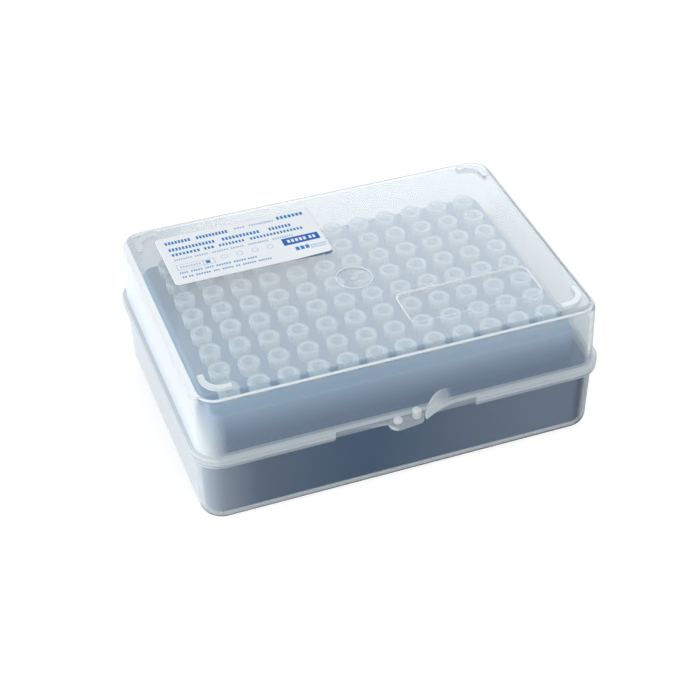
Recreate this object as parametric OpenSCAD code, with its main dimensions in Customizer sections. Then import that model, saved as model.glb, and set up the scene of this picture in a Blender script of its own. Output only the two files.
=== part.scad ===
// Box of 96 pipette tips: a hinged box of clear polypropylene, a blue rack insert that stands in its
// base, twelve columns of eight tips that hang in the rack, and a label on the lid.
// The origin is the middle of the underside. X runs along the long side, the front is at -Y, Z is up.

/* [Grid] */
// Columns of tips, along X
columns = 12; // [8:1:16]
// Rows of tips, along Y
rows = 8; // [5:1:12]
// Distance between neighbouring tips
pitch = 9; // [7.5:0.1:12]

/* [Box] */
// Height of the base to its rim, where the lid sits
base_h = 24.4; // [20:0.1:28]
// Radius of the upright corners at the foot
corner_r = 6.85; // [6:0.05:10]
// Thickness of the walls of base and lid
wall_t = 1.3; // [0.9:0.05:1.6]
// How far the walls lean out between foot and rim
wall_lean = 0.5; // [0.2:0.05:0.8]
// Radius along the edge of the foot
foot_r = 3.5; // [2.5:0.1:4]
// Radius along the top edge of the lid
top_r = 2.2; // [1.8:0.1:3]

/* [Rim] */
// How far the rim stands out from the walls
rim_out = 1.45; // [1:0.05:2.5]
// Thickness of the lid's rim plate
rim_t = 1.2; // [0.9:0.05:1.6]
// How far the lid's skirt hangs down outside the base
skirt_drop = 1.3; // [0.8:0.1:2.5]
// Sideways gap between the skirt and the base
skirt_gap = 0.3; // [0.2:0.05:0.5]
// Left end of the opening in the skirt at the front
opening_left = -22.6; // [-30:0.1:-18]
// Right end of the opening in the skirt at the front
opening_right = 21.5; // [18:0.1:30]

/* [Latch] */
// Diameter of the two pegs on the base's front tab
peg_d = 2.7; // [2:0.1:4]
// Height of the left peg
peg_left_h = 1.1; // [0.5:0.1:3]
// Height of the right peg
peg_right_h = 2.8; // [0.5:0.1:4]
// How far the thumb lip flares out from the lid at its free end
lip_out = 4.6; // [3:0.1:6]
// Height of the thumb lip above the lid's lower edge
lip_h = 6.6; // [4:0.1:10]

/* [Hinge] */
// Distance from each end of the box to the middle of the hinge there
hinge_inset = 29.85; // [15:0.05:40]
// Width of each knuckle on the lid
knuckle_w = 10; // [6:0.5:14]
// Diameter of the hinge pins
pin_d = 3; // [2.5:0.1:3.4]
// Radial running clearance of the knuckles on the pins
pin_clearance = 0.05; // [0.03:0.01:0.1]
// Wall of the knuckles round the pins
knuckle_wall = 1; // [0.8:0.05:1.2]
// Angle at which the open lid meets its stops
stop_angle = 111; // [95:1:115]

/* [Rack] */
// Thickness of the deck and the rack's walls
rack_t = 1.2; // [0.8:0.05:1.6]
// Deck beyond the outer tip centres at the short sides
deck_margin_x = 7; // [5:0.1:9]
// Deck beyond the outer tip centres at the long sides
deck_margin_y = 6.3; // [5:0.1:9]
// Width of the shoulder outside the raised deck at the short sides
shoulder_x = 3.25; // [2:0.05:9]
// Width of the shoulder outside the raised deck at the long sides
shoulder_y = 4.05; // [1:0.05:6]
// Upright corner radius of the raised deck
deck_corner_r = 3; // [2.5:0.5:9]
// Gap between the rack's skirt and the walls of the base
rack_gap = 0.8; // [0.4:0.1:1.5]
// Height of the rib round the floor of the base that the rack stands on
stand_h = 1; // [0.6:0.1:4]

/* [Tips] */
// Outer diameter of a tip's collar
collar_d = 6.4; // [6:0.1:7]
// Height of the collar
collar_h = 1.3; // [0.8:0.1:2]
// Height of a tip's top above the deck
tip_above = 4; // [3:0.1:4.5]
// Length of a tip
tip_l = 31.5; // [26:0.5:60]
// Room between the tips' lower ends and the floor of the base
floor_room = 6.2; // [2:0.1:10]
// Room between the tops of the tips and the ceiling of the lid
top_room = 5.4; // [2:0.1:10]
// Diameter of a tip just below the deck
tip_body_d = 4.6; // [4:0.1:4.8]
// Diameter of the socket at a tip's top
socket_d = 3.5; // [3:0.1:4]
// Gap round a tip in its hole
hole_gap = 0.2; // [0.1:0.05:0.3]
// Ribs round a tip under its collar
tip_ribs = 8; // [4:1:10]

/* [Lid top and label] */
// Height of the four stacking ribs at the lid's corners
stack_rib_h = 1; // [0.5:0.1:2]
// Width of the stacking ribs
stack_rib_w = 1.7; // [1:0.1:2.5]
// Length of the clear window in the lid
window_l = 42; // [20:0.5:45]
// Width of the clear window in the lid
window_w = 14.5; // [8:0.5:18]
// Diameter of the dimple round the moulding gate
gate_d = 10.8; // [6:0.1:14]
// Length of the label
label_l = 50; // [30:0.5:52]
// Width of the label
label_w = 25; // [12:0.5:27]

/* [Hidden] */
$fn = 64;
too_far = 300;

// The box is built round the tips: its outside follows from their grid and length.
grid_l = (columns - 1) * pitch;
grid_w = (rows - 1) * pitch;
deck_x = grid_l / 2 + deck_margin_x;
deck_y = grid_w / 2 + deck_margin_y;
rack_inset = wall_t + rack_gap;
box_l = 2 * (deck_x + shoulder_x + rack_inset);
box_w = 2 * (deck_y + shoulder_y + rack_inset);
floor_top = wall_t;
tip_top = floor_top + floor_room + tip_l;
box_h = tip_top + top_room + wall_t;
deck_z = tip_top - tip_above;

// Centres of the upright corners, shared by base, lid, rim and rack skirt.
corner_x = box_l / 2 - corner_r;
corner_y = box_w / 2 - corner_r;
rim_r = corner_r + wall_lean;
rim_y = corner_y + rim_r;

// The lid starts a hair above the base's rim.
seat_gap = 0.1;
lid_z = base_h + seat_gap;
lid_h = box_h - lid_z;
skirt_z = lid_z - skirt_drop;
ledge_t = 0.9;
ledge_short = 0.1;
ledge_z = skirt_z - seat_gap - ledge_t;
round_r = 0.45;
front_strip = 0.3;
overlap = 0.01;

// Front tab of the base and the pegs that stand on it.
tab_t = 1.2;
peg_gap = 0.2;
peg_y = rim_y + front_strip + peg_gap + peg_d / 2;
peg_left = [-3.7, -peg_y - 0.2];
peg_right = [2.2, -peg_y];
tab_left_r = peg_d / 2 + 1.4;
tab_right_r = peg_d / 2 + 0.9;
tab_shoulder_x = -15;
tab_blend = 0.05;

// Dimple in the top of each peg.
dimple_r = 0.85;
dimple_depth = 0.35;

// Thumb lip of the lid.
lip_t = 0.9;
lip_left = 4.3;
lip_right = 20;
lip_tilt = 18;
lip_sink = 0.15;
lip_bottom = lid_z;

// Hinges at the back. The knuckles turn clear of the rim.
hinge_x = box_l / 2 - hinge_inset;
knuckle_r = pin_d / 2 + pin_clearance + knuckle_wall;
knuckle_gap = 0.25;
axis_y = rim_y + rim_out + knuckle_gap + knuckle_r;
axis_z = skirt_z - 0.5;
lug_r = knuckle_r - 0.1;
lug_w = 2.6;
lug_gap = 0.3;
lug_drop = 7;
stop_l = 3.9;
stop_gap = 0.05;
arm_t = 1.4;
slot_share = 0.72;

// Rack insert.
rack_z = floor_top + stand_h;
shoulder_rise = 0.1;
shoulder_z = base_h + shoulder_rise;
wall_slope = wall_lean / (base_h - foot_r);
skirt_r = corner_r - rack_inset;
deck_lean = 0.4;
deck_edge_r = 1;
hole_d = tip_body_d + 2 * hole_gap;
hole_collar_t = 0.9;
hole_collar_h = 5;

// Tips. The hub is wider than the hole, so it rests on the deck.
hub_d = hole_d + 0.3;
collar_edge = 0.3;
socket_l = 9;
socket_end_d = socket_d - 0.6;
body_end_d = tip_body_d - 0.3;
neck_l = 12;
neck_d = tip_body_d - 1.2;
tip_wall = 0.35;
orifice_d = 0.5;
rib_t = 0.5;
rib_sink = 0.3;
rib_inset = 0.2;
rib_foot = 0.1;
rib_slope_h = 0.7;

// Lid top: the label lies at the back left and the window at the front right.
window_inset_x = 12.85;
window_inset_y = 13.5;
window_x = box_l / 2 - window_inset_x - window_l / 2;
window_y = window_inset_y - box_w / 2 + window_w / 2;
window_r = 2.5;
window_depth = 0.3;
gate_x = -1;
gate_y = -3.4;
gate_depth = 0.5;
gate_nub_r = 1.1;
gate_nub_h = 0.4;
stack_x = box_l / 2 - 3.4;
stack_y = box_w / 2 - 3.9;
stack_r = 6;
stack_leg = 2;
label_inset_x = 9.65;
label_inset_y = 7.65;
label_x = label_inset_x - box_l / 2 + label_l / 2;
label_y = box_w / 2 - label_inset_y - label_w / 2;
label_r = 1.5;
label_t = 0.12;

function turned(p, angle) = [p.x * cos(angle) - p.y * sin(angle), p.x * sin(angle) + p.y * cos(angle)];
function column_name(c) = str("tips_column_", c < 10 ? "0" : "", c);

// ---- shapes that repeat ----

// Sweeps a section, drawn as distance from the corner centre against height, round a rounded rectangle.
module around(cx, cy) {
    for (quarter = [0:3]) {
        side_x = quarter == 0 || quarter == 3 ? 1 : -1;
        side_y = quarter < 2 ? 1 : -1;
        translate([side_x * cx, side_y * cy, 0]) rotate([0, 0, 90 * quarter])
            rotate_extrude(angle = 90) children();
        out = quarter % 2 == 0 ? cx : cy;
        half = quarter % 2 == 0 ? cy : cx;
        rotate([0, 0, 90 * quarter]) translate([out, half, 0]) rotate([90, 0, 0])
            linear_extrude(2 * half) children();
    }
}

// A flat plate with round corners.
module plate(half_x, half_y, r, thickness) {
    linear_extrude(thickness) {
        square([2 * half_x, 2 * (half_y - r)], center = true);
        square([2 * (half_x - r), 2 * half_y], center = true);
        for (x = [-1, 1], y = [-1, 1]) translate([x * (half_x - r), y * (half_y - r)]) circle(r);
    }
}

// Section of all that lies inside a wall that stands on a rounded edge and leans out upwards.
module filled_section(r, edge_r, bottom, top, lean) {
    intersection() {
        translate([r - edge_r, bottom + edge_r]) circle(edge_r);
        translate([r - edge_r, bottom]) square(edge_r);
    }
    translate([0, bottom]) square([r - edge_r, top - bottom]);
    polygon([[0, bottom + edge_r], [r, bottom + edge_r], [r + lean, top], [0, top]]);
}

// A tray with a rounded bottom edge, open at the top. The lid is the same shape turned over.
module tray(height, edge_r) {
    slope = wall_lean / (height - edge_r);
    past_top = 1;
    around(corner_x, corner_y) difference() {
        filled_section(corner_r, edge_r, 0, height, wall_lean);
        filled_section(corner_r - wall_t, edge_r - wall_t, wall_t, height + past_top,
                       wall_lean + slope * past_top);
    }
    translate([-corner_x, -corner_y, 0]) cube([2 * corner_x, 2 * corner_y, wall_t]);
}

// Section of a ledge round the rim, with its two outer edges rounded.
module ledge_section(from_r, to_r, bottom, thickness) {
    r = min(round_r, thickness / 2 - overlap);
    translate([from_r, bottom]) square([to_r - r - from_r, thickness]);
    translate([from_r, bottom + r]) square([to_r - from_r, thickness - 2 * r]);
    for (z = [bottom + r, bottom + thickness - r]) translate([to_r - r, z]) circle(r);
}

module for_each_hinge() {
    for (x = [-hinge_x, hinge_x]) translate([x, 0, 0]) children();
}

// A disc of the given width along X, round the hinge axis.
module on_axis(r, width) {
    translate([-width / 2, axis_y, axis_z]) rotate([0, 90, 0]) cylinder(r = r, h = width);
}

// ---- base ----

module base_tab() {
    // The straight sides end just inside the round ends.
    left_r = tab_left_r - tab_blend;
    right_r = tab_right_r - tab_blend;
    translate([0, 0, base_h - tab_t]) {
        translate([peg_left.x, peg_left.y, 0]) cylinder(r = tab_left_r, h = tab_t);
        translate([peg_right.x, peg_right.y, 0]) cylinder(r = tab_right_r, h = tab_t);
        linear_extrude(tab_t) polygon([
            [tab_shoulder_x, -rim_y + wall_t], [tab_shoulder_x, -rim_y],
            [peg_left.x, peg_left.y] + turned([left_r, 0], 165),
            [peg_left.x, peg_left.y] + turned([left_r, 0], -82),
            [peg_right.x, peg_right.y] + turned([right_r, 0], -82),
            [peg_right.x + right_r, peg_right.y],
            [peg_right.x + right_r, -rim_y + wall_t]
        ]);
    }
    translate([peg_left.x, peg_left.y, base_h - overlap]) peg(peg_left_h);
    translate([peg_right.x, peg_right.y, base_h - overlap]) peg(peg_right_h);
}

// A short round peg with a rounded top and a dimple in it.
module peg(height) {
    edge = 0.5;
    rotate_extrude() difference() {
        union() {
            square([peg_d / 2, height - edge]);
            square([peg_d / 2 - edge, height]);
            translate([peg_d / 2 - edge, height - edge]) circle(edge, $fn = 32);
        }
        translate([0, height - dimple_depth]) square([dimple_r, 1]);
        translate([-too_far, -1]) square([too_far, too_far]);
    }
}

// Two lugs with the pin between them. Each lug ends in a block whose sloping top stops the open lid.
module base_hinge() {
    inner = knuckle_w / 2 + lug_gap;
    stop_top = axis_y - rim_y - rim_out - stop_gap;
    block = [[0, stop_top], [stop_l, stop_top], [stop_l, -lug_r / 2]];
    for (side = [-1, 1]) translate([side * (inner + lug_w / 2), 0, 0]) {
        on_axis(lug_r, lug_w);
        translate([-lug_w / 2, 0, 0]) rotate([90, 0, 90]) linear_extrude(lug_w) polygon(concat(
            [[rim_y - wall_t / 2, axis_z - lug_drop], [rim_y - wall_t / 2, axis_z], [axis_y, axis_z]],
            [for (p = block) [axis_y, axis_z] + turned(p, 90 - stop_angle)]
        ));
    }
    on_axis(pin_d / 2, knuckle_w + 2 * lug_gap + 2 * overlap);
}

// A low rib all round the floor, under the foot of the rack's skirt.
module rack_stand() {
    around(corner_x, corner_y) translate([skirt_r - rack_t, floor_top - overlap])
        square([rack_t, stand_h + overlap]);
}

module base() {
    notch_w = knuckle_w + 2 * lug_gap;
    color([0.80, 0.85, 0.90, 0.45]) {
        tray(base_h, foot_r);
        rack_stand();
        difference() {
            around(corner_x, corner_y)
                ledge_section(rim_r - wall_t, rim_r + rim_out - ledge_short, ledge_z, ledge_t);
            translate([opening_left, -too_far - rim_y - overlap, 0])
                cube([opening_right - opening_left, too_far, too_far]);
            for_each_hinge() translate([-notch_w / 2, rim_y - overlap, 0])
                cube([notch_w, too_far, too_far]);
        }
        base_tab();
        for_each_hinge() base_hinge();
    }
}

// ---- lid ----

// The part of the lid's rim that hangs down outside the base, open at the front and over the hinge lugs.
module lid_rim() {
    lug_span = knuckle_w + 2 * lug_gap + 2 * lug_w + 2 * lug_gap;
    plate_out = rim_r + rim_out;
    difference() {
        around(corner_x, corner_y) {
            ledge_section(rim_r - wall_t, plate_out, lid_z, rim_t);
            difference() {
                ledge_section(rim_r + skirt_gap, plate_out, skirt_z, skirt_drop + rim_t / 2);
                translate([0, lid_z + overlap]) square(too_far);
            }
        }
        translate([opening_left, -too_far - rim_y - front_strip, 0])
            cube([opening_right - opening_left, too_far, too_far]);
        translate([opening_left, -rim_y - 2 * rim_out, 0])
            cube([opening_right - opening_left, 2 * rim_out, lid_z]);
        for_each_hinge() translate([-lug_span / 2, rim_y + overlap, 0])
            cube([lug_span, too_far, lid_z]);
    }
}

// A flap of the wall that bends outwards to the left, to lift the lid by. Its outline is half an ellipse.
module thumb_lip() {
    half_l = (lip_right - lip_left) / 2;
    bend_r = pow(2 * half_l, 2) / (2 * lip_out);
    reach = lip_out + lip_sink + 2 * lip_t;
    steps = 40;
    intersection() {
        translate([lip_right, -rim_y - bend_r + lip_sink, lip_bottom]) rotate([0, -lip_tilt, 0])
            translate([0, 0, -lip_h]) difference() {
                cylinder(r = bend_r + lip_t, h = 4 * lip_h, $fn = 256);
                translate([0, 0, -1]) cylinder(r = bend_r, h = 4 * lip_h + 2, $fn = 256);
            }
        translate([lip_left + half_l, lip_sink + lip_t - rim_y, lip_bottom]) rotate([90, 0, 0])
            linear_extrude(reach) polygon([
                for (i = [0:steps]) [half_l * cos(i * 180 / steps), lip_h * sin(i * 180 / steps)]
            ]);
    }
}

// Knuckles that snap over the pins through a slot, and the arms that carry them.
module lid_hinge() {
    slot_w = pin_d * slot_share;
    difference() {
        union() {
            on_axis(knuckle_r, knuckle_w);
            translate([-knuckle_w / 2, rim_y + skirt_gap, lid_z + rim_t - arm_t])
                cube([knuckle_w, axis_y - rim_y - skirt_gap, arm_t]);
            translate([-knuckle_w / 2, axis_y - knuckle_r, axis_z])
                cube([knuckle_w, knuckle_r, lid_z + rim_t - axis_z]);
        }
        on_axis(pin_d / 2 + pin_clearance, knuckle_w + 2);
        translate([-knuckle_w, axis_y - slot_w / 2, axis_z - 2 * knuckle_r])
            cube([2 * knuckle_w, slot_w, 2 * knuckle_r]);
    }
}

// Four L-shaped ribs that hold the foot of a box stacked on top.
module stacking_ribs() {
    cx = stack_x - stack_r;
    cy = stack_y - stack_r;
    for (quarter = [0:3]) {
        side_x = quarter == 0 || quarter == 3 ? 1 : -1;
        side_y = quarter < 2 ? 1 : -1;
        translate([side_x * cx, side_y * cy, box_h - overlap]) rotate([0, 0, 90 * quarter]) {
            rotate_extrude(angle = 90) translate([stack_r - stack_rib_w, 0])
                square([stack_rib_w, stack_rib_h + overlap]);
            translate([stack_r - stack_rib_w, -stack_leg, 0])
                cube([stack_rib_w, stack_leg, stack_rib_h + overlap]);
            translate([-stack_leg, stack_r - stack_rib_w, 0])
                cube([stack_leg, stack_rib_w, stack_rib_h + overlap]);
        }
    }
}

module lid() {
    color([0.85, 0.89, 0.93, 0.4]) {
        difference() {
            translate([0, 0, box_h]) mirror([0, 0, 1]) tray(lid_h, top_r);
            translate([window_x, window_y, box_h - window_depth])
                plate(window_l / 2, window_w / 2, window_r, 1);
            translate([gate_x, gate_y, box_h - gate_depth]) cylinder(d = gate_d, h = 1);
        }
        translate([gate_x, gate_y, box_h - gate_depth - overlap])
            cylinder(r = gate_nub_r, h = gate_nub_h);
        lid_rim();
        thumb_lip();
        for_each_hinge() lid_hinge();
        stacking_ribs();
    }
}

// ---- rack insert ----

module deck_hole_places() {
    for (c = [0:columns - 1], r = [0:rows - 1])
        translate([c * pitch - grid_l / 2, r * pitch - grid_w / 2, 0]) children();
}

// The outer skirt that stands in the base, leaning out with its walls.
module rack_skirt() {
    lean = wall_slope * (shoulder_z - rack_z);
    around(corner_x, corner_y) polygon([
        [skirt_r - rack_t, rack_z], [skirt_r, rack_z],
        [skirt_r + lean, shoulder_z], [skirt_r + lean - rack_t, shoulder_z]
    ]);
}

// The raised deck with its side walls, open underneath.
module raised_deck() {
    cx = deck_x - deck_corner_r;
    cy = deck_y - deck_corner_r;
    drop = deck_z - shoulder_z + rack_t;
    around(cx, cy) difference() {
        translate([0, deck_z]) mirror([0, 1])
            filled_section(deck_corner_r, deck_edge_r, 0, drop, deck_lean);
        translate([0, shoulder_z - 2 * rack_t])
            square([deck_corner_r - rack_t, deck_z - shoulder_z + rack_t]);
    }
    translate([-cx, -cy, deck_z - rack_t]) cube([2 * cx, 2 * cy, rack_t]);
}

// The flat ring between skirt and raised deck.
module shoulder() {
    outer_r = skirt_r + wall_slope * (shoulder_z - rack_z);
    difference() {
        translate([0, 0, shoulder_z - rack_t])
            plate(corner_x + outer_r, corner_y + outer_r, outer_r, rack_t);
        translate([0, 0, shoulder_z - 2 * rack_t])
            plate(deck_x - rack_t / 2, deck_y - rack_t / 2, deck_corner_r - rack_t / 2, 3 * rack_t);
    }
}

module rack_insert() {
    color([0.36, 0.50, 0.68]) difference() {
        union() {
            rack_skirt();
            shoulder();
            raised_deck();
            translate([0, 0, deck_z - rack_t - hole_collar_h + overlap]) deck_hole_places()
                cylinder(d = hole_d + 2 * hole_collar_t, h = hole_collar_h);
        }
        translate([0, 0, deck_z - 2 * rack_t - hole_collar_h]) deck_hole_places()
            cylinder(d = hole_d, h = hole_collar_h + 4 * rack_t);
    }
}

// ---- tips ----

// One tip, its top at z = 0: collar, ribbed hub that rests on the deck, and a tapered body.
module tip() {
    rotate_extrude() difference() {
        union() {
            translate([0, -collar_h]) square([collar_d / 2, collar_h - collar_edge]);
            translate([0, -collar_edge]) square([collar_d / 2 - collar_edge, collar_edge]);
            translate([collar_d / 2 - collar_edge, -collar_edge]) circle(collar_edge, $fn = 32);
            polygon([
                [0, -collar_edge], [hub_d / 2, -collar_edge], [hub_d / 2, -tip_above],
                [tip_body_d / 2, -tip_above], [body_end_d / 2, -socket_l], [neck_d / 2, -neck_l],
                [orifice_d / 2 + tip_wall / 2, -tip_l], [0, -tip_l]
            ]);
        }
        polygon([
            [0, 1], [socket_d / 2 + collar_edge, 1], [socket_d / 2 + collar_edge, 0],
            [socket_d / 2, -collar_edge], [socket_end_d / 2, -socket_l],
            [neck_d / 2 - tip_wall, -neck_l], [orifice_d / 2, -tip_l - 1], [0, -tip_l - 1]
        ]);
        translate([-too_far, -too_far / 2]) square([too_far, too_far]);
    }
    for (i = [0:tip_ribs - 1]) rotate([0, 0, (i + 0.5) * 360 / tip_ribs]) tip_rib();
}

module tip_rib() {
    inner = hub_d / 2 - rib_sink;
    outer = collar_d / 2 - rib_inset;
    translate([0, rib_t / 2, 0]) rotate([90, 0, 0]) linear_extrude(rib_t) polygon([
        [inner, -collar_h + overlap], [outer, -collar_h + overlap], [outer, -tip_above + rib_slope_h],
        [hub_d / 2 + rib_foot, -tip_above], [inner, -tip_above]
    ]);
}

module tips_column(c) {
    color([0.90, 0.93, 0.95]) for (r = [0:rows - 1])
        translate([(c - 1) * pitch - grid_l / 2, r * pitch - grid_w / 2, tip_top]) tip();
}

// ---- label ----

module label() {
    color([0.96, 0.97, 0.98]) translate([label_x, label_y, box_h])
        plate(label_l / 2, label_w / 2, label_r, label_t);
}

base();
lid();
rack_insert();
label();
for (c = [1:columns]) tips_column(c);
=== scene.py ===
"""Looks of a box of pipette tips: frosted clear box, blue rack insert, milky tips and a label."""
import math

import bmesh
import bpy
from mathutils import Matrix, Vector


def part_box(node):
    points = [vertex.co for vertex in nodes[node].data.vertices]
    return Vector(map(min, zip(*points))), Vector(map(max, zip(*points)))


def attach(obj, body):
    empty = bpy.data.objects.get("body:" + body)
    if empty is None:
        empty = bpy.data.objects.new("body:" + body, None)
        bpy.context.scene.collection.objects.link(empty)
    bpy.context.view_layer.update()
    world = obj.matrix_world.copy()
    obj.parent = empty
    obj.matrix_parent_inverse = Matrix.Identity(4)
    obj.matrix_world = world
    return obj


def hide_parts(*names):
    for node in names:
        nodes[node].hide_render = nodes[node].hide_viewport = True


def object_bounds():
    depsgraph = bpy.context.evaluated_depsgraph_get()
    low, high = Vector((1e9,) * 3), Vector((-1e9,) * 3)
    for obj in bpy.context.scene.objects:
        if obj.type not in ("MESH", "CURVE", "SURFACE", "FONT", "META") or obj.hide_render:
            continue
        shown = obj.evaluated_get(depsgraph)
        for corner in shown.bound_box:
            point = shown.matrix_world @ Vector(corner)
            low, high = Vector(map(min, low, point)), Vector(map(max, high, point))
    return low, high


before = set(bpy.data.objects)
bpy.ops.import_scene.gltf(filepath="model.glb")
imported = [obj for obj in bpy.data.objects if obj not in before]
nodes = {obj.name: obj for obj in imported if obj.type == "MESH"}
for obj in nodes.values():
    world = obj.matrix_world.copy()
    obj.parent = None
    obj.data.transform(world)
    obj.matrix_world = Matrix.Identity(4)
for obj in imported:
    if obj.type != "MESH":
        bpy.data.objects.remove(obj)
cad_low, cad_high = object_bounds()
lid_low, lid_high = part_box("lid")
label_low, label_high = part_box("label")
base_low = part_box("base")[0]
rack_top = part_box("rack_insert")[1].z

MM = 0.001

# ---- camera, seen from the left front and above ----

AZIMUTH = math.radians(-19.98)
ELEVATION = math.radians(39.007)
ROLL = math.radians(-0.566)
CAMERA_AT = Vector((-0.14162, -0.38583, 0.34758))
SENSOR = 36.0
LENS = 86.8884


def make_camera():
    """The camera looks along minus back, turned about that line by the roll."""
    back = Vector((math.sin(AZIMUTH) * math.cos(ELEVATION),
                   -math.cos(AZIMUTH) * math.cos(ELEVATION), math.sin(ELEVATION)))
    right = Vector((math.cos(AZIMUTH), math.sin(AZIMUTH), 0))
    up = back.cross(right)
    right, up = (right * math.cos(ROLL) + up * math.sin(ROLL),
                 up * math.cos(ROLL) - right * math.sin(ROLL))
    data = bpy.data.cameras.new("camera")
    data.sensor_width = SENSOR
    data.lens = LENS
    data.clip_start = 0.02
    data.clip_end = 20
    camera = bpy.data.objects.new("camera", data)
    bpy.context.scene.collection.objects.link(camera)
    turn = Matrix((right, up, back)).transposed()
    camera.matrix_world = Matrix.Translation(CAMERA_AT) @ turn.to_4x4()
    bpy.context.scene.camera = camera


# ---- node helpers: each returns the socket of what it adds ----

def new_material(name):
    made = bpy.data.materials.new(name)
    made.use_nodes = True
    made.node_tree.nodes.clear()
    return made


def add(tree, kind, inputs=None, **settings):
    """A node with its settings, its inputs given as numbers, colours or other nodes' outputs."""
    made = tree.nodes.new(kind)
    for name, value in settings.items():
        setattr(made, name, value)
    for name, value in (inputs or {}).items():
        if isinstance(value, bpy.types.NodeSocket):
            tree.links.new(value, made.inputs[name])
        else:
            made.inputs[name].default_value = value
    return made


def maths(tree, operation, *values, clamp=False):
    made = tree.nodes.new("ShaderNodeMath")
    made.operation = operation
    made.use_clamp = clamp
    for socket, value in zip(made.inputs, values):
        if isinstance(value, bpy.types.NodeSocket):
            tree.links.new(value, socket)
        else:
            socket.default_value = value
    return made.outputs[0]


def times(tree, *values):
    result = values[0]
    for value in values[1:]:
        result = maths(tree, "MULTIPLY", result, value)
    return result


def plus(tree, *values):
    result = values[0]
    for value in values[1:]:
        result = maths(tree, "ADD", result, value)
    return result


def most(tree, *values):
    result = values[0]
    for value in values[1:]:
        result = maths(tree, "MAXIMUM", result, value)
    return result


def distance(tree, x, y):
    return maths(tree, "SQRT", plus(tree, times(tree, x, x), times(tree, y, y)))


def spread(tree, value, low, high, to_low, to_high):
    """The value carried from low..high to to_low..to_high, and held at the ends."""
    return add(tree, "ShaderNodeMapRange", {
        "Value": value, "From Min": low, "From Max": high, "To Min": to_low, "To Max": to_high}).outputs[0]


def above(tree, value, level, soft):
    """1 above the level, falling to 0 within soft below it."""
    return spread(tree, value, level - soft, level, 0, 1)


def below(tree, value, level, soft):
    """1 below the level, falling to 0 within soft above it."""
    return spread(tree, value, level, level + soft, 1, 0)


def between(tree, value, low, high, soft):
    """1 where the value lies between low and high, falling to 0 within soft outside them."""
    return times(tree, above(tree, value, low, soft), below(tree, value, high, soft))


def noise(tree, scale, detail):
    place = add(tree, "ShaderNodeTexCoord").outputs["Object"]
    return add(tree, "ShaderNodeTexNoise", {"Vector": place, "Scale": scale, "Detail": detail}).outputs["Fac"]


def vary(tree, value, low, high):
    """Noise, nearly all of which lies between 0.3 and 0.7, carried to low..high."""
    return spread(tree, value, 0.3, 0.7, low, high)


def bump(tree, height, strength, depth=0.03 * MM):
    return add(tree, "ShaderNodeBump", {"Height": height, "Strength": strength, "Distance": depth}).outputs[0]


def facing(tree):
    """0 where the surface is seen head on, 1 where it is seen edge on."""
    return add(tree, "ShaderNodeLayerWeight", {"Blend": 0.5}).outputs["Facing"]


def mixed(tree, share, first, second):
    return add(tree, "ShaderNodeMixShader", {0: share, 1: first, 2: second}).outputs[0]


def mixed_colour(tree, share, first, second):
    return add(tree, "ShaderNodeMix", {0: share, 6: first, 7: second}, data_type="RGBA").outputs[2]


def shade(tree, shader):
    add(tree, "ShaderNodeOutputMaterial", {"Surface": shader})


def lit_through(tree, shader, straight, aslant):
    """Lamps and bounced light go straight through the wall, less of it aslant, and so reach the inside."""
    path = add(tree, "ShaderNodeLightPath")
    passes = most(tree, path.outputs["Is Shadow Ray"], path.outputs["Is Diffuse Ray"])
    through = mixed_colour(tree, maths(tree, "POWER", facing(tree), 2.0), straight, aslant)
    clear = add(tree, "ShaderNodeBsdfTransparent", {"Color": through})
    return mixed(tree, passes, shader, clear.outputs[0])


def seen(tree):
    """1 for what the camera sees, also mirrored or through glass, and 0 for the light on the object."""
    path = add(tree, "ShaderNodeLightPath")
    return most(tree, path.outputs["Is Camera Ray"], path.outputs["Is Glossy Ray"],
                path.outputs["Is Transmission Ray"])


def place_and_normal(tree):
    """A point's place and its surface's normal in the object's own frame, each as x, y and z."""
    where = add(tree, "ShaderNodeTexCoord")
    place = add(tree, "ShaderNodeSeparateXYZ", {0: where.outputs["Object"]})
    normal = add(tree, "ShaderNodeSeparateXYZ", {0: where.outputs["Normal"]})
    return place.outputs, normal.outputs


def from_outline(tree, x, y, box, radius):
    """How far a point lies from the outline of a rectangle with round corners."""
    across = maths(tree, "ABSOLUTE", maths(tree, "SUBTRACT", x, (box[0] + box[2]) / 2))
    along = maths(tree, "ABSOLUTE", maths(tree, "SUBTRACT", y, (box[1] + box[3]) / 2))
    across = maths(tree, "SUBTRACT", across, (box[2] - box[0]) / 2 - radius)
    along = maths(tree, "SUBTRACT", along, (box[3] - box[1]) / 2 - radius)
    outer = distance(tree, maths(tree, "MAXIMUM", across, 0.0), maths(tree, "MAXIMUM", along, 0.0))
    inner = maths(tree, "MINIMUM", maths(tree, "MAXIMUM", across, along), 0.0)
    return maths(tree, "ABSOLUTE", maths(tree, "SUBTRACT", plus(tree, outer, inner), radius))


# ---- places on the pieces that their materials pick out ----

def at_level(name, z, inset=0.0):
    """The outline of a node's mesh at one height, as least x and y and greatest x and y.

    What lies nearer to the lid's ends, its front or its back than inset is left out.
    """
    half_x = lid_high.x - inset
    half_y = -lid_low.y - inset
    points = [v.co for v in nodes[name].data.vertices
              if abs(v.co.z - z) < 0.01 * MM and abs(v.co.x) <= half_x and abs(v.co.y) <= half_y]
    xs = [p.x for p in points]
    ys = [p.y for p in points]
    return min(xs), min(ys), max(xs), max(ys)


def heights_at_left(name, left):
    """The heights of a node's points at its left end."""
    return [v.co.z for v in nodes[name].data.vertices if v.co.x < left + 0.6 * MM]


# Width over which a mask's edge usually fades.
SOFT = 0.1 * MM

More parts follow.
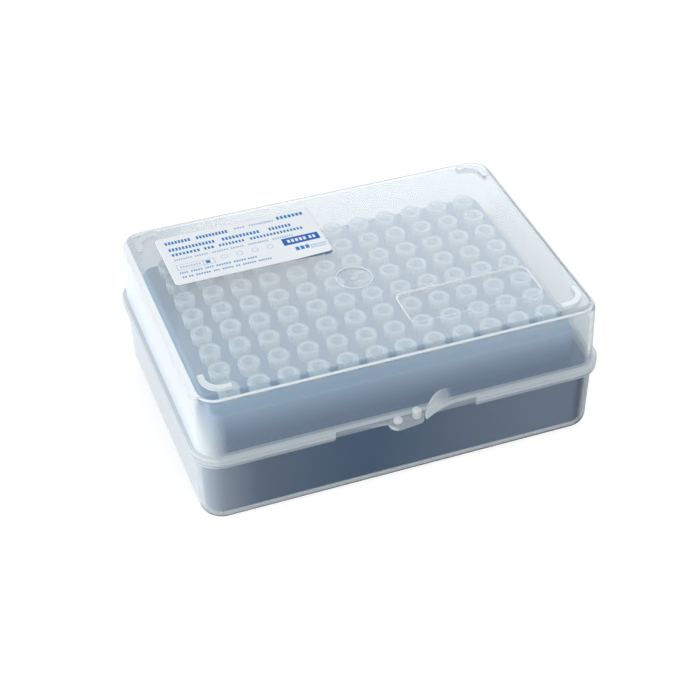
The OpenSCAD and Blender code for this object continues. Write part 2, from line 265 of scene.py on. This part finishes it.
# The lid: its flat, the rounding round it, its walls' outside, and two hollows in the flat.
TOP = label_low.z
TOP_ROUND = 2.2 * MM
TOP_SKIN = 1.4 * MM
WALL = at_level("lid", TOP - TOP_ROUND)
PAST_RIBS = 9 * MM
WINDOW = at_level("lid", TOP - 0.3 * MM, PAST_RIBS)
WINDOW_R = 2.5 * MM
GATE = at_level("lid", TOP - 0.5 * MM, PAST_RIBS)
GATE_R = (GATE[2] - GATE[0]) / 2
RIM_TOP = max(heights_at_left("lid", lid_low.x))
ABOVE_RIM = lid_low.z + 4.0 * MM

# The base: its left end, the underside of its ledge, and the rounding at its foot.
BASE_LEFT = base_low.x
BASE_RIGHT = -BASE_LEFT
LEDGE_LOW = min(heights_at_left("base", BASE_LEFT))
FOOT_H = 1.5 * MM

# The tips' grid, which has its middle at the origin, and their upper ends.
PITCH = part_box("tips_column_02")[0].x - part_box("tips_column_01")[0].x
TIP_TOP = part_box("tips_column_01")[1].z
SOCKET_R = 1.75 * MM
COLLAR_H = 1.35 * MM


def lid_painted_highlights(tree):
    """Painted highlights on the lid: white on its rounded top edge, ribs, window outline, gate, rim and lip.
    """
    place, normal = place_and_normal(tree)
    x, y, z = place
    near_top = above(tree, z, TOP - 0.35 * MM, SOFT)
    on_edge = above(tree, z, TOP - TOP_ROUND - 0.1 * MM, SOFT)
    front = below(tree, normal[1], -0.35, 0.2)
    other = maths(tree, "SUBTRACT", 1.0, front)
    narrow = times(tree, on_edge, front, between(tree, normal[2], 0.74, 0.88, 0.05), 0.97)
    # Painted highlight on the other edges, stronger where they face left.
    by_side = spread(tree, normal[0], -0.5, -0.2, 0.95, 0.8)
    broad = times(tree, on_edge, other, between(tree, normal[2], -0.3, 0.92, 0.06), by_side)
    # Painted highlight on the corner ribs, stronger on the front ones.
    ribs = times(tree, above(tree, z, TOP + 0.1 * MM, 0.05 * MM),
                 spread(tree, y, -30 * MM, 0, 0.75, 0.4))
    window_off = from_outline(tree, x, y, WINDOW, WINDOW_R)
    # Painted highlight along the window's outline, fainter at its front.
    by_depth = spread(tree, y, WINDOW[1], WINDOW[1] + 3 * MM, 0.45, 0.95)
    window = times(tree, near_top, below(tree, window_off, 0.15 * MM, 0.25 * MM), by_depth)
    gate_off = from_outline(tree, x, y, GATE, GATE_R)
    gate = times(tree, near_top, below(tree, gate_off, 0.1 * MM, 0.2 * MM), 0.85)
    # Painted highlight on the rim, stronger where it faces left.
    rim = times(tree, below(tree, z, RIM_TOP + 0.05 * MM, SOFT),
                spread(tree, normal[0], -0.7, -0.2, 0.85, 0.43))
    lip = times(tree, below(tree, y, WALL[1] - 1.1 * MM, 0.5 * MM), 0.35)
    return most(tree, narrow, broad, ribs, window, gate, rim, lip)


def base_painted_highlights(tree):
    """Painted highlights on the base: white on its rim, front tab, pegs and hinge lugs, the rim strongest
    where it faces left.
    """
    place, normal = place_and_normal(tree)
    rim = times(tree, above(tree, place[2], LEDGE_LOW, SOFT),
                spread(tree, normal[0], -0.7, -0.2, 0.85, 0.28))
    pegs = times(tree, above(tree, place[2], ABOVE_RIM + 0.1 * MM, SOFT), 0.8)
    return most(tree, rim, pegs)


def lid_coat(tree):
    """The gloss of the lid. It ends a little behind the front wall, and its underside has none."""
    place, normal = place_and_normal(tree)
    return times(tree, above(tree, place[1], WALL[1] + 3.6 * MM, 0.6 * MM),
                 above(tree, normal[2], -0.5, 0.2))


def base_coat(tree):
    return times(tree, lid_coat(tree), 0.5)


def lid_haze_painted_light(tree):
    """How much more haze the lid gets: painted light that whitens its left wall, most low down, and lightens
    the upper part of its front wall; its top gets a little more towards the right, more on its underside and
    less in its window.
    """
    place, normal = place_and_normal(tree)
    x, y, z = place
    walls = below(tree, z, TOP - TOP_SKIN, 0.3 * MM)
    # Painted light: the left wall whitened as if lit from the left, more low down.
    left = times(tree, walls, spread(tree, x, WALL[0] + 1 * MM, WALL[0] + 8 * MM, 1.0, 0.0),
                 spread(tree, z, ABOVE_RIM, TOP, 0.75, 0.05))
    # Painted light: the front wall lighter in its upper part, more so towards the right.
    front = times(tree, walls, below(tree, y, WALL[1] + 1.5 * MM, 1 * MM),
                  spread(tree, z, TOP - 11 * MM, TOP - 2 * MM, 0.0, 0.085),
                  spread(tree, x, -20 * MM, 40 * MM, 1.0, 1.7))
    under = below(tree, normal[2], -0.7, 0.2)
    in_window = times(tree, between(tree, x, WINDOW[0], WINDOW[2], 0.3 * MM),
                      between(tree, y, WINDOW[1], WINDOW[3], 0.3 * MM))
    top = times(tree, maths(tree, "SUBTRACT", 1.0, walls),
                spread(tree, x, -50 * MM, 20 * MM, 0.02, 0.04),
                spread(tree, under, 0, 1, 1.0, 2.1), spread(tree, in_window, 0, 1, 1.0, 0.4))
    return most(tree, left, front, top)


def base_haze_painted_light(tree):
    """How much more haze the base gets: painted light that whitens its left wall and lightens its front wall
    towards its ends.
    """
    place, normal = place_and_normal(tree)
    x, y, z = place
    upright = below(tree, maths(tree, "ABSOLUTE", normal[2]), 0.5, 0.2)
    # Painted light: the left wall whitened as if lit from the left.
    left = spread(tree, x, BASE_LEFT + 2 * MM, BASE_LEFT + 22 * MM, 0.28, 0.0)
    # Painted light: the front wall lighter towards its ends.
    from_middle = maths(tree, "ABSOLUTE", maths(tree, "ADD", x, 13 * MM))
    front = times(tree, below(tree, y, WALL[1] + 4 * MM, 2 * MM),
                  spread(tree, from_middle, 5 * MM, 55 * MM, 0.0, 0.09),
                  below(tree, x, BASE_RIGHT - 10 * MM, 4 * MM))
    return times(tree, upright, most(tree, left, front))


# ---- materials ----

TOP_TINT = (0.63, 0.67, 0.69, 1)
LID_TINT = (0.84, 0.87, 0.89, 1)
BASE_TINT = (0.72, 0.76, 0.80, 1)
# Darker tint for the base's foot and right end: painted shade.
FOOT_SHADE_TINT = (0.31, 0.36, 0.41, 1)
WALL_HAZE = (0.81, 0.87, 0.91, 1)
TOP_HAZE = (0.82, 0.93, 0.99, 1)
# Colour of the painted highlights on edges.
PAINTED_HIGHLIGHT = (0.89, 0.95, 0.99, 1)
TIP_TINT = (0.93, 0.98, 1.0, 1)
TIP_HAZE = (0.80, 0.92, 1.0, 1)
# The rack's skirt colour is painted shade.
RACK_SKIRT_SHADE = (0.045, 0.105, 0.20, 1)

# Pairs of colours that a surface wanders between.
# The rack's foot colour is painted shade and its wall colour painted light: the walls go from lit at the top
# to shaded at the foot.
RACK_FOOT_SHADE = (0.10, 0.17, 0.29, 1), (0.105, 0.18, 0.305, 1)
RACK_WALL_LIT = (0.21, 0.34, 0.50, 1), (0.22, 0.355, 0.52, 1)
RACK_DECK = (0.13, 0.28, 0.45, 1), (0.145, 0.30, 0.48, 1)
PAPER = (0.84, 0.885, 0.935, 1), (0.865, 0.905, 0.95, 1)

# What a wall lets through of the light that falls straight on it, and aslant.
BOX_LETS = (0.93, 0.95, 0.96, 1), (0.6, 0.63, 0.65, 1)
TIP_LETS = (0.91, 0.94, 0.96, 1), (0.74, 0.78, 0.82, 1)

# The box's gloss has the plastic's own index. Its walls have less, which keeps dark edges out of them.
GLOSS_IOR = 1.5
WALL_IOR = 1.15
TIP_IOR = 1.06


def raised_normal(tree, share):
    """The surface's normal, leaned towards the piece's upright: so a thin rounded edge catches light."""
    lean = 2.0
    upright = add(tree, "ShaderNodeCombineXYZ", {"Z": times(tree, share, lean)}).outputs[0]
    upright = add(tree, "ShaderNodeVectorTransform", {0: upright}, vector_type="VECTOR",
                  convert_from="OBJECT", convert_to="WORLD").outputs[0]
    straight = add(tree, "ShaderNodeNewGeometry").outputs["Normal"]
    leaned = add(tree, "ShaderNodeVectorMath", {0: straight, 1: upright}, operation="ADD").outputs[0]
    return add(tree, "ShaderNodeVectorMath", {0: leaned}, operation="NORMALIZE").outputs[0]


def clear_plastic(name, wall_tint, rough, wall_rough, haze_share, aslant_share, coat_rough,
                  white, coat, haze_and_painted_light):
    """Clear polypropylene: it bends light, blurs it a little, scatters a share of it, and shines.

    white, coat and the extra haze are functions that add a mask to the tree. white paints highlights on
    edges, the extra haze paints light on some walls, and the base's foot and right end get a darker tint,
    which is painted shade.
    """
    made = new_material(name)
    tree = made.node_tree
    cloudy = noise(tree, 45, 2)
    place, normal = place_and_normal(tree)
    on_top = above(tree, place[2], TOP - TOP_SKIN, 0.3 * MM)
    upright = below(tree, maths(tree, "ABSOLUTE", normal[2]), 0.4, 0.4)
    # The base's foot and right end are tinted darker: painted shade.
    foot = below(tree, place[2], FOOT_H, FOOT_H)
    shaded_right_end = times(tree, above(tree, place[0], BASE_RIGHT - 7 * MM, 2 * MM),
                      below(tree, place[2], LEDGE_LOW, SOFT))
    # The white marks are painted highlights on edges.
    marks = white(tree)

    blur = maths(tree, "ADD", rough, times(tree, upright, wall_rough - rough))
    blur = times(tree, blur, vary(tree, cloudy, 0.92, 1.08))
    tint = mixed_colour(tree, upright, TOP_TINT, wall_tint)
    tint = mixed_colour(tree, foot, tint, FOOT_SHADE_TINT)
    tint = mixed_colour(tree, shaded_right_end, tint, FOOT_SHADE_TINT)
    glass = add(tree, "ShaderNodeBsdfPrincipled", {
        "Base Color": tint, "Roughness": blur, "IOR": WALL_IOR, "Transmission Weight": 1.0,
        "Coat Weight": coat(tree), "Coat Roughness": coat_rough, "Coat IOR": GLOSS_IOR})

    colour = mixed_colour(tree, on_top, WALL_HAZE, TOP_HAZE)
    colour = mixed_colour(tree, marks, colour, PAINTED_HIGHLIGHT)
    haze = add(tree, "ShaderNodeBsdfPrincipled", {
        "Base Color": colour, "Roughness": coat_rough, "IOR": GLOSS_IOR, "Specular IOR Level": 0.0,
        "Coat Weight": coat(tree), "Coat Roughness": coat_rough, "Coat IOR": GLOSS_IOR,
        "Normal": raised_normal(tree, marks)})
    glow = add(tree, "ShaderNodeBsdfTranslucent", {"Color": colour})
    milky = mixed(tree, spread(tree, marks, 0, 1, 0.25, 0.1), haze.outputs[0], glow.outputs[0])

    even = vary(tree, cloudy, haze_share * 0.96, haze_share * 1.04)
    # The extra haze includes painted light on the left and front walls.
    even = maths(tree, "ADD", even, haze_and_painted_light(tree))
    aslant = times(tree, maths(tree, "POWER", facing(tree), 4.0), aslant_share)
    share = most(tree, maths(tree, "ADD", even, aslant, clamp=True), marks)
    # Less haze at the foot, so the painted shade there stays dark.
    share = times(tree, share, spread(tree, foot, 0, 1, 1.0, 0.3))
    shader = mixed(tree, share, glass.outputs[0], milky)
    shade(tree, lit_through(tree, shader, *BOX_LETS))
    return made


def rack_plastic():
    """Blue polypropylene with a fine satin grain, its colour carrying painted light and shade: walls lighter
    near the top, darker towards the foot, the skirt darkest and low parts of the deck darker too.
    """
    made = new_material("blue_plastic")
    tree = made.node_tree
    fine = noise(tree, 2500, 2)
    cloudy = noise(tree, 60, 3)
    place, normal = place_and_normal(tree)
    # Painted light and shade: the rack lighter high up, darker low down and darkest on its skirt.
    height = spread(tree, place[2], rack_top - 9.5 * MM, rack_top, 0, 1)
    skirt = below(tree, place[2], rack_top - 11 * MM, 0.5 * MM)
    flat_top = above(tree, normal[2], 0.8, 0.3)
    low = mixed_colour(tree, cloudy, *RACK_FOOT_SHADE)
    walls = mixed_colour(tree, height, low, mixed_colour(tree, cloudy, *RACK_WALL_LIT))
    walls = mixed_colour(tree, skirt, walls, RACK_SKIRT_SHADE)
    deck = mixed_colour(tree, cloudy, *RACK_DECK)
    deck = mixed_colour(tree, height, low, deck)
    shader = add(tree, "ShaderNodeBsdfPrincipled", {
        "Base Color": mixed_colour(tree, flat_top, walls, deck),
        "Roughness": vary(tree, fine, 0.5, 0.62),
        "Specular IOR Level": 0.3, "Normal": bump(tree, fine, 0.05)})
    shade(tree, shader.outputs[0])
    return made


def from_tip_axis(tree, place):
    """A point's distance from the axis of its tip. The axes lie half a pitch off the origin."""
    across, along = (maths(tree, "SUBTRACT", maths(tree, "WRAP", value, PITCH, 0.0), PITCH / 2)
                     for value in place[:2])
    return distance(tree, across, along)


def tip_plastic():
    """Milky polypropylene, clearest down in the body; the collar's upward flat top is whitest, partly its own
    milkiness and partly painted light, as if lit from above.
    """
    made = new_material("tip_plastic")
    tree = made.node_tree
    cloudy = noise(tree, 400, 2)
    place, normal = place_and_normal(tree)
    z = place[2]
    radius = from_tip_axis(tree, place)
    outside = above(tree, radius, SOCKET_R + 0.2 * MM, SOFT)
    collar = times(tree, outside, above(tree, z, TIP_TOP - COLLAR_H, 0.05 * MM))
    # Extra white on the collar's upward flat top: partly painted light, as if lit from above.
    flat_top = times(tree, above(tree, radius, SOCKET_R + 0.15 * MM, SOFT),
                     above(tree, z, TIP_TOP - 0.35 * MM, 0.05 * MM), above(tree, normal[2], 0.6, 0.2))
    mouth = times(tree, below(tree, radius, SOCKET_R + 0.1 * MM, SOFT),
                  above(tree, z, TIP_TOP - 4 * MM, 2 * MM))
    aslant = facing(tree)
    share = plus(tree, vary(tree, cloudy, 0.06, 0.08), times(tree, aslant, aslant, 0.3),
                 times(tree, outside, 0.22), times(tree, mouth, 0.2), times(tree, collar, 0.1))
    share = maths(tree, "ADD", share, times(tree, flat_top, 0.3), clamp=True)
    glass = add(tree, "ShaderNodeBsdfPrincipled", {
        "Base Color": TIP_TINT, "Roughness": 0.05, "IOR": TIP_IOR, "Transmission Weight": 1.0})
    haze = add(tree, "ShaderNodeBsdfDiffuse", {"Color": TIP_HAZE})
    glow = add(tree, "ShaderNodeBsdfTranslucent", {"Color": TIP_HAZE})
    milky = mixed(tree, 0.3, haze.outputs[0], glow.outputs[0])
    shader = mixed(tree, share, glass.outputs[0], milky)
    shade(tree, lit_through(tree, shader, *TIP_LETS))
    return made


def label_paper():
    """White coated paper with a faint grain."""
    made = new_material("label_paper")
    tree = made.node_tree
    fine = noise(tree, 900, 3)
    shader = add(tree, "ShaderNodeBsdfPrincipled", {
        "Base Color": mixed_colour(tree, fine, *PAPER),
        "Roughness": 0.55, "Specular IOR Level": 0.3, "Normal": bump(tree, fine, 0.1)})
    shade(tree, shader.outputs[0])
    return made


def ink(name, red, green, blue):
    """Print on the label: it lets a little of the paper's grain through."""
    paper_white, thin = 0.9, 0.05
    made = new_material(name)
    tree = made.node_tree
    fine = noise(tree, 1500, 3)
    worn = [c + (paper_white - c) * thin for c in (red, green, blue)]
    shader = add(tree, "ShaderNodeBsdfPrincipled", {
        "Base Color": mixed_colour(tree, fine, (red, green, blue, 1), (*worn, 1)),
        "Roughness": 0.6, "Specular IOR Level": 0.1, "Normal": bump(tree, fine, 0.1)})
    shade(tree, shader.outputs[0])
    return made


clear_lid = clear_plastic(
    "clear_lid", wall_tint=LID_TINT, rough=0.02, wall_rough=0.2, haze_share=0.11, aslant_share=0.25,
    coat_rough=0.22, white=lid_painted_highlights, coat=lid_coat, haze_and_painted_light=lid_haze_painted_light)
clear_base = clear_plastic(
    "clear_base", wall_tint=BASE_TINT, rough=0.07, wall_rough=0.2, haze_share=0.035, aslant_share=0.3,
    coat_rough=0.3, white=base_painted_highlights, coat=base_coat, haze_and_painted_light=base_haze_painted_light)
paper = label_paper()
milky_tip = tip_plastic()
finishes = {"lid": clear_lid, "base": clear_base, "rack_insert": rack_plastic(), "label": paper}

for name, thing in nodes.items():
    thing.data.materials.clear()
    thing.data.materials.append(finishes.get(name, milky_tip))


# ---- label: a sheet with a corner that lifts a little, and plain print ----

LABEL_L = label_high.x - label_low.x
LABEL_W = label_high.y - label_low.y
LABEL_T = label_high.z - label_low.z
LABEL_R = 1.5 * MM
CORNER_LIFT = 0.45 * MM
PRINT_LIFT = 0.015 * MM
MARK_LIFT = 0.03 * MM


def ease(value):
    value = min(max(value, 0.0), 1.0)
    return value * value * (3 - 2 * value)


def sheet_place(u, v):
    """A place on top of the label, u from its left end and v from its back edge."""
    lift = CORNER_LIFT * ease((u - 0.72) / 0.28) * ease((v - 0.45) / 0.55)
    return Vector((label_low.x + u * LABEL_L, label_high.y - v * LABEL_W, label_high.z + lift))


def label_piece(name, made, material):
    """A piece that rides on the lid, made from a bmesh, which is freed."""
    mesh = bpy.data.meshes.new(name)
    made.to_mesh(mesh)
    made.free()
    mesh.materials.append(material)
    thing = bpy.data.objects.new(name, mesh)
    bpy.context.scene.collection.objects.link(thing)
    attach(thing, "lid")
    return thing


def rounded(u, v):
    """Moves points of the square's four corner cells onto round corners."""
    x, y = u * LABEL_L, v * LABEL_W
    from_x = max(LABEL_R - x, x - (LABEL_L - LABEL_R), 0.0) / LABEL_R
    from_y = max(LABEL_R - y, y - (LABEL_W - LABEL_R), 0.0) / LABEL_R
    if from_x == 0 or from_y == 0:
        return u, v
    new_x = from_x * math.sqrt(1 - from_y * from_y / 2) * LABEL_R
    new_y = from_y * math.sqrt(1 - from_x * from_x / 2) * LABEL_R
    x = LABEL_R - new_x if x < LABEL_L / 2 else LABEL_L - LABEL_R + new_x
    y = LABEL_R - new_y if y < LABEL_W / 2 else LABEL_W - LABEL_R + new_y
    return x / LABEL_L, y / LABEL_W


def grid_lines(length, inner):
    """Grid lines along one side: eight over each round corner, and inner ones between."""
    corner = 8
    lines = [LABEL_R * i / corner for i in range(corner)]
    lines += [LABEL_R + (length - 2 * LABEL_R) * i / inner for i in range(inner)]
    lines += [length - LABEL_R + LABEL_R * i / corner for i in range(corner + 1)]
    return [line / length for line in lines]


def sheet_layer(made, us, vs, drop):
    """A grid of points that follows the sheet, a drop below its top."""
    layer = []
    for v in vs:
        row = []
        for u in us:
            place = sheet_place(*rounded(u, v))
            place.z -= drop
            row.append(made.verts.new(place))
        layer.append(row)
    return layer


def make_sheet():
    made = bmesh.new()
    us = grid_lines(LABEL_L, 40)
    vs = grid_lines(LABEL_W, 20)
    top = sheet_layer(made, us, vs, 0)
    under = sheet_layer(made, us, vs, LABEL_T)
    last_i = len(us) - 1
    last_j = len(vs) - 1
    for j in range(last_j):
        for i in range(last_i):
            made.faces.new((top[j][i], top[j + 1][i], top[j + 1][i + 1], top[j][i + 1])).smooth = True
            made.faces.new((under[j][i], under[j][i + 1], under[j + 1][i + 1], under[j + 1][i]))
    for i in range(last_i):
        made.faces.new((top[0][i], top[0][i + 1], under[0][i + 1], under[0][i]))
        made.faces.new((top[last_j][i + 1], top[last_j][i], under[last_j][i], under[last_j][i + 1]))
    for j in range(last_j):
        made.faces.new((top[j + 1][0], top[j][0], under[j][0], under[j + 1][0]))
        made.faces.new((top[j][last_i], top[j + 1][last_i], under[j + 1][last_i], under[j][last_i]))
    sheet = label_piece("label_sheet", made, paper)
    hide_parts("label")


def printed(name, shapes, material, lift=PRINT_LIFT):
    """Flat shapes on the label. Each is a list of four corners (u, v) and follows the sheet."""
    made = bmesh.new()
    rise = Vector((0, 0, lift))
    for corners in shapes:
        made.faces.new([made.verts.new(sheet_place(u, v) + rise) for u, v in corners])
    label_piece(name, made, material)


def bar(u, v, length, height):
    """A rectangle from u to u + length, its middle at v."""
    back, front = v - height / 2, v + height / 2
    return [(u, back), (u, front), (u + length, front), (u + length, back)]


def dashes(words, v, height, dash, gap):
    """A row of short dashes in words: each word is a start and an end along u."""
    shapes = []
    for start, end in words:
        count = max(1, round((end - start + gap) / (dash + gap)))
        each = (end - start + gap) / count - gap
        shapes += [bar(start + i * (each + gap), v, each, height) for i in range(count)]
    return shapes


def ring(u, v, radius, width):
    """A ring of quads, its radius and width in metres."""
    shapes = []
    count = 24
    for i in range(count):
        a = 2 * math.pi * i / count
        b = 2 * math.pi * (i + 1) / count
        corners = ((radius, a), (radius - width, a), (radius - width, b), (radius, b))
        shapes.append([(u + r * math.cos(t) / LABEL_L, v + r * math.sin(t) / LABEL_W) for r, t in corners])
    return shapes


def outline(u0, u1, v0, v1, width):
    """The outline of a rectangle as four bars."""
    across, down = width / LABEL_L, width / LABEL_W
    middle_v, height = (v0 + v1) / 2, v1 - v0 + down
    return [bar(u0, v0, u1 - u0, down), bar(u0, v1, u1 - u0, down),
            bar(u0 - across / 2, middle_v, across, height), bar(u1 - across / 2, middle_v, across, height)]


def print_label():
    """Rows of plain dashes, a framed box, four rings and a solid block, laid out along u and v."""
    bold, medium, fine = 0.062, 0.052, 0.034

    # Heading, the two rows under it, a mark in the framed box and three dashes under the block.
    deep = dashes([(0.05, 0.21), (0.25, 0.45)], 0.135, bold, 0.014, 0.007)
    deep += dashes([(0.78, 0.95)], 0.09, bold, 0.016, 0.008)
    deep += dashes([(0.055, 0.345), (0.395, 0.635), (0.70, 0.84)], 0.28, bold, 0.014, 0.008)
    deep += dashes([(0.06, 0.235), (0.265, 0.325), (0.36, 0.52), (0.56, 0.90)], 0.39, medium, 0.013, 0.009)
    deep += dashes([(0.235, 0.262)], 0.665, 0.06, 0.02, 0.008)
    deep += dashes([(0.79, 0.875)], 0.80, 0.075, 0.022, 0.009)

    # Small rows, the frame, its divider and contents, the rings, and small print beside the three dashes.
    pale = dashes([(0.50, 0.565), (0.595, 0.755)], 0.115, fine, 0.010, 0.006)
    pale += dashes([(0.06, 0.17), (0.19, 0.27), (0.30, 0.40), (0.42, 0.50), (0.53, 0.66), (0.69, 0.82)],
                   0.50, fine, 0.009, 0.006)
    pale += outline(0.055, 0.29, 0.61, 0.72, 0.15 * MM)
    pale += [bar(0.218, 0.665, 0.004, 0.11)]
    pale += dashes([(0.075, 0.20)], 0.665, fine, 0.009, 0.008)
    for u in (0.356, 0.455, 0.553, 0.65):
        pale += ring(u, 0.635, 1.05 * MM, 0.16 * MM)
    pale += dashes([(0.885, 0.925), (0.935, 0.985)], 0.80, 0.026, 0.008, 0.005)
    pale += dashes([(0.885, 0.975)], 0.845, 0.026, 0.008, 0.005)

    # The two rows of small print along the front edge.
    small = dashes([(0.055, 0.105), (0.125, 0.195), (0.215, 0.265), (0.285, 0.375), (0.395, 0.47),
                    (0.485, 0.54)], 0.78, fine, 0.009, 0.006)
    small += dashes([(0.06, 0.085), (0.10, 0.125), (0.145, 0.235), (0.255, 0.29), (0.31, 0.375),
                     (0.395, 0.42), (0.44, 0.52), (0.54, 0.62)], 0.87, fine, 0.009, 0.006)

    block_part = 0.047
    block = [bar(0.735 + block_part * i, 0.615, block_part, 0.15) for i in range(5)]
    marks = dashes([(0.765, 0.885), (0.905, 0.945)], 0.615, 0.065, 0.016, 0.009)

    printed("label_print_deep", deep, ink("ink_deep", 0.01, 0.22, 0.56))
    printed("label_print_middle", small, ink("ink_middle", 0.12, 0.32, 0.62))
    printed("label_print_pale", pale, ink("ink_pale", 0.34, 0.52, 0.74))
    printed("label_block", block, ink("ink_block", 0.0, 0.13, 0.50))
    printed("label_block_marks", marks, ink("ink_white", 0.85, 0.88, 0.92), MARK_LIFT)


make_sheet()
print_label()


# ---- floor and light ----

def make_floor():
    """A wide pale floor just under the foot. What the camera sees of it glows, and it keeps a soft shadow."""
    half = 3.0
    mesh = bpy.data.meshes.new("floor")
    mesh.from_pydata([(-half, -half, 0), (half, -half, 0), (half, half, 0), (-half, half, 0)],
                     [], [(0, 1, 2, 3)])
    floor = bpy.data.objects.new("floor", mesh)
    bpy.context.scene.collection.objects.link(floor)
    floor.location.z = cad_low.z - 0.2 * MM
    made = new_material("floor")
    tree = made.node_tree
    plain = add(tree, "ShaderNodeBsdfDiffuse", {"Color": (0.4, 0.4, 0.4, 1)})
    strength = times(tree, seen(tree), 0.75)
    glow = add(tree, "ShaderNodeEmission", {"Color": (1, 1, 1, 1), "Strength": strength})
    both = add(tree, "ShaderNodeAddShader", {0: plain.outputs[0], 1: glow.outputs[0]})
    shade(tree, both.outputs[0])
    made.cycles.emission_sampling = "NONE"
    mesh.materials.append(made)


def make_world():
    """White where it is seen, and a plain soft light on the object."""
    world = bpy.data.worlds.new("world")
    world.use_nodes = True
    tree = world.node_tree
    tree.nodes.clear()
    strength = spread(tree, seen(tree), 0, 1, 0.38, 1.0)
    sky = add(tree, "ShaderNodeBackground", {"Color": (1, 1, 1, 1), "Strength": strength})
    add(tree, "ShaderNodeOutputWorld", {"Surface": sky.outputs[0]})
    bpy.context.scene.world = world


def area_light(name, place, size, power, mirrored=False):
    """A soft lamp aimed at the object. Only a mirrored one shows in the plastic's gloss."""
    data = bpy.data.lights.new(name, "AREA")
    data.shape = "RECTANGLE"
    data.size, data.size_y = size
    data.energy = power
    light = bpy.data.objects.new(name, data)
    bpy.context.scene.collection.objects.link(light)
    light.location = place
    light.rotation_mode = "QUATERNION"
    aim = (cad_low + cad_high) / 2 - Vector(place)
    light.rotation_quaternion = aim.to_track_quat("-Z", "Y")
    light.visible_transmission = False
    light.visible_glossy = mirrored


make_floor()
make_world()
area_light("back_light", (0.34, 0.765, 0.59), (0.42, 0.32), 1.5, mirrored=True)
area_light("left_light", (-0.8, 0.05, 0.12), (0.6, 0.2), 6.6)
area_light("front_light", (0.35, -1.0, 0.35), (0.8, 0.4), 3.3)
area_light("top_light", (-0.05, -0.4, 0.8), (0.8, 0.6), 2.9, mirrored=True)
make_camera()

bpy.context.scene.view_settings.view_transform = "Standard"
